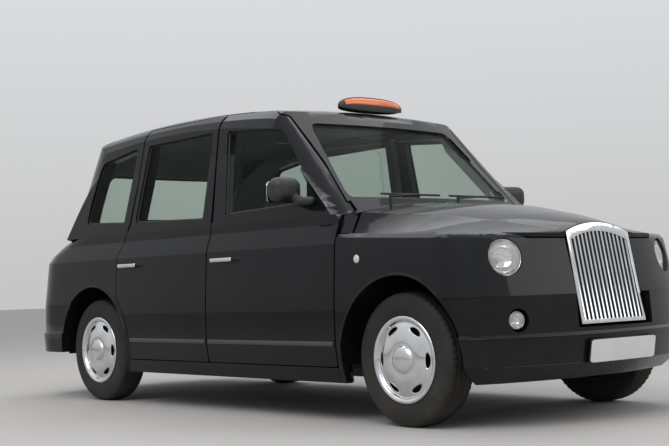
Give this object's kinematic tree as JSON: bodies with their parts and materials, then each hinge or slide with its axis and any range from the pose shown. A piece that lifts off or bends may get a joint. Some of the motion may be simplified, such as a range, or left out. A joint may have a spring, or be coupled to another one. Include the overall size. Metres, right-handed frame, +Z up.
{
  "type": "taxi cab",
  "caption": "Upright purpose-built taxi cab, gloss black, with hinged doors, bonnet and boot lid, steered front wheels and a lit roof sign.",
  "frame": {"origin": "on the ground at the middle of the bounding box", "axes": "+X forwards, +Y to the left, +Z up"},
  "size_m": [4.5798, 2.033, 1.834],
  "materials": {
    "paint": "gloss",
    "glass": "gloss",
    "bright": "gloss",
    "black_plastic": "satin",
    "trim": "matte",
    "seat": "matte",
    "floor": "matte",
    "frame": "satin",
    "iron": "matte",
    "exhaust": "satin",
    "tyre": "matte",
    "lens": "gloss",
    "red_lens": "gloss",
    "amber_lens": "gloss"
  },
  "bodies": {
    "body": {"parcel_shelf": "trim", "roof_panel": "paint", "rear_panel": "paint", "fixed_glass": "glass", "floor_pan": "floor", "chassis_frame": "frame", "exhaust": "exhaust", "rear_axle": "iron", "front_suspension": "iron", "engine_block": "iron", "front_panel": "black_plastic", "grille": "bright", "front_bumper": "black_plastic", "rear_bumper": "black_plastic", "headlamps": "lens", "fog_lamps": "lens", "tail_lamps": "red_lens", "sign_housing": "black_plastic", "sign_lens": "amber_lens", "dashboard": "trim", "partition": "glass", "driver_seat": "seat", "rear_seat": "seat", "wipers": "black_plastic", "scuttle": "paint", "body_side_right": "paint", "body_side_left": "paint", "front_wing_right": "paint", "front_wing_left": "paint"},
    "door_front_right": {"door_front_right": "paint", "door_front_glass_right": "glass", "door_front_handle_right": "bright", "mirror_right": "black_plastic"},
    "door_rear_right": {"door_rear_right": "paint", "door_rear_glass_right": "glass", "door_rear_handle_right": "bright"},
    "knuckle_right": {"knuckle_right": "iron"},
    "wheel_front_right": {"tyre_front_right": "tyre", "wheel_front_right": "bright"},
    "wheel_rear_right": {"tyre_rear_right": "tyre", "wheel_rear_right": "bright"},
    "door_front_left": {"door_front_left": "paint", "door_front_glass_left": "glass", "door_front_handle_left": "bright", "mirror_left": "black_plastic"},
    "door_rear_left": {"door_rear_left": "paint", "door_rear_glass_left": "glass", "door_rear_handle_left": "bright"},
    "knuckle_left": {"knuckle_left": "iron"},
    "wheel_front_left": {"tyre_front_left": "tyre", "wheel_front_left": "bright"},
    "wheel_rear_left": {"tyre_rear_left": "tyre", "wheel_rear_left": "bright"},
    "bonnet": {"bonnet": "paint"},
    "boot_lid": {"boot_lid": "paint"},
    "steering_wheel": {"steering_wheel": "trim"}
  },
  "joints": [
    {"name": "door_front_right_hinge", "type": "hinge", "parent": "body", "child": "door_front_right", "pos_m": [1.087, -0.865, 0.595], "axis": [0, 0, 1], "range_deg": [0, 70]},
    {"name": "door_rear_right_hinge", "type": "hinge", "parent": "body", "child": "door_rear_right", "pos_m": [-0.054, -0.865, 0.595], "axis": [0, 0, 1], "range_deg": [0, 70]},
    {"name": "door_front_left_hinge", "type": "hinge", "parent": "body", "child": "door_front_left", "pos_m": [1.087, 0.865, 0.595], "axis": [0, 0, -1], "range_deg": [0, 70]},
    {"name": "door_rear_left_hinge", "type": "hinge", "parent": "body", "child": "door_rear_left", "pos_m": [-0.054, 0.865, 0.595], "axis": [0, 0, -1], "range_deg": [0, 70]},
    {"name": "bonnet_hinge", "type": "hinge", "parent": "body", "child": "bonnet", "pos_m": [1.232, 0, 1.144], "axis": [0, -1, 0], "range_deg": [0, 60]},
    {"name": "boot_lid_hinge", "type": "hinge", "parent": "body", "child": "boot_lid", "pos_m": [-2.03, 0, 1.062], "axis": [0, 1, 0], "range_deg": [0, 75]},
    {"name": "steer_right", "type": "hinge", "parent": "body", "child": "knuckle_right", "pos_m": [1.583, -0.66, 0.333], "axis": [0, 0, 1], "range_deg": [-48, 48]},
    {"name": "steer_left", "type": "hinge", "parent": "body", "child": "knuckle_left", "pos_m": [1.583, 0.66, 0.333], "axis": [0, 0, 1], "range_deg": [-48, 48]},
    {"name": "steering_wheel_turn", "type": "hinge", "parent": "body", "child": "steering_wheel", "pos_m": [0.69, -0.36, 0.985], "axis": [-0.8829, 0, 0.4695], "range_deg": [-480, 480]},
    {"name": "wheel_front_right_turn", "type": "hinge", "parent": "knuckle_right", "child": "wheel_front_right", "pos_m": [1.583, -0.75, 0.333], "axis": [0, 1, 0], "continuous": true},
    {"name": "wheel_rear_right_turn", "type": "hinge", "parent": "body", "child": "wheel_rear_right", "pos_m": [-1.303, -0.75, 0.333], "axis": [0, 1, 0], "continuous": true},
    {"name": "wheel_front_left_turn", "type": "hinge", "parent": "knuckle_left", "child": "wheel_front_left", "pos_m": [1.583, 0.75, 0.333], "axis": [0, 1, 0], "continuous": true},
    {"name": "wheel_rear_left_turn", "type": "hinge", "parent": "body", "child": "wheel_rear_left", "pos_m": [-1.303, 0.75, 0.333], "axis": [0, 1, 0], "continuous": true}
  ],
  "couplings": [
    {"joint": "steer_left", "follows": "steer_right", "ratio": 1},
    {"joint": "steering_wheel_turn", "follows": "steer_right", "ratio": 10}
  ]
}
